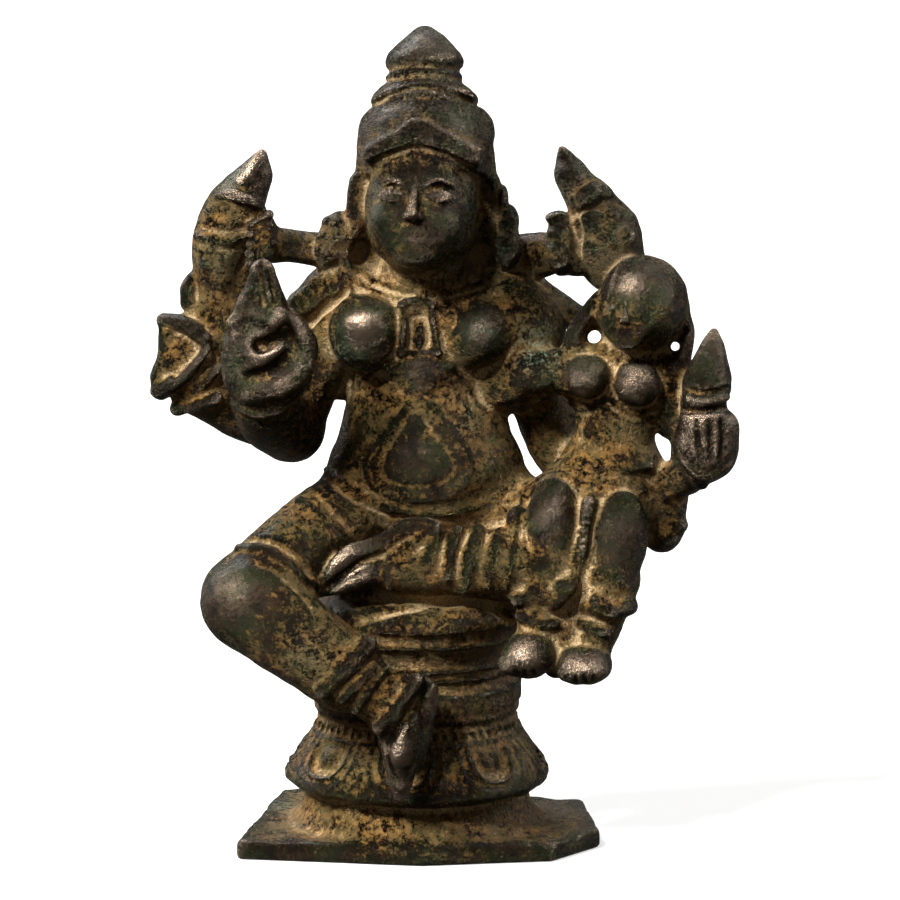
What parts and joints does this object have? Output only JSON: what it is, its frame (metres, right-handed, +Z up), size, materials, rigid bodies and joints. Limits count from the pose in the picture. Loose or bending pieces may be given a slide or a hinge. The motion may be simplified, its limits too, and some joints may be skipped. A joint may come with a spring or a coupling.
{
  "type": "bronze seated deity statue",
  "caption": "Small solid-cast bronze of a crowned four-armed deity seated on a round lotus pedestal, with a smaller consort seated on the left thigh.",
  "frame": {"origin": "on the flat underside of the plinth, below the pedestal's axis", "axes": "+Z up along the pedestal's axis, -Y towards the side the deity faces, +X towards the consort"},
  "size_m": [0.0786, 0.0438, 0.11],
  "materials": {
    "bronze": "aged dark brown bronze, polished on the high points, with tan dust in the recesses and thin green patina"
  },
  "bodies": {
    "root": {"statue": "bronze"}
  },
  "joints": []
}
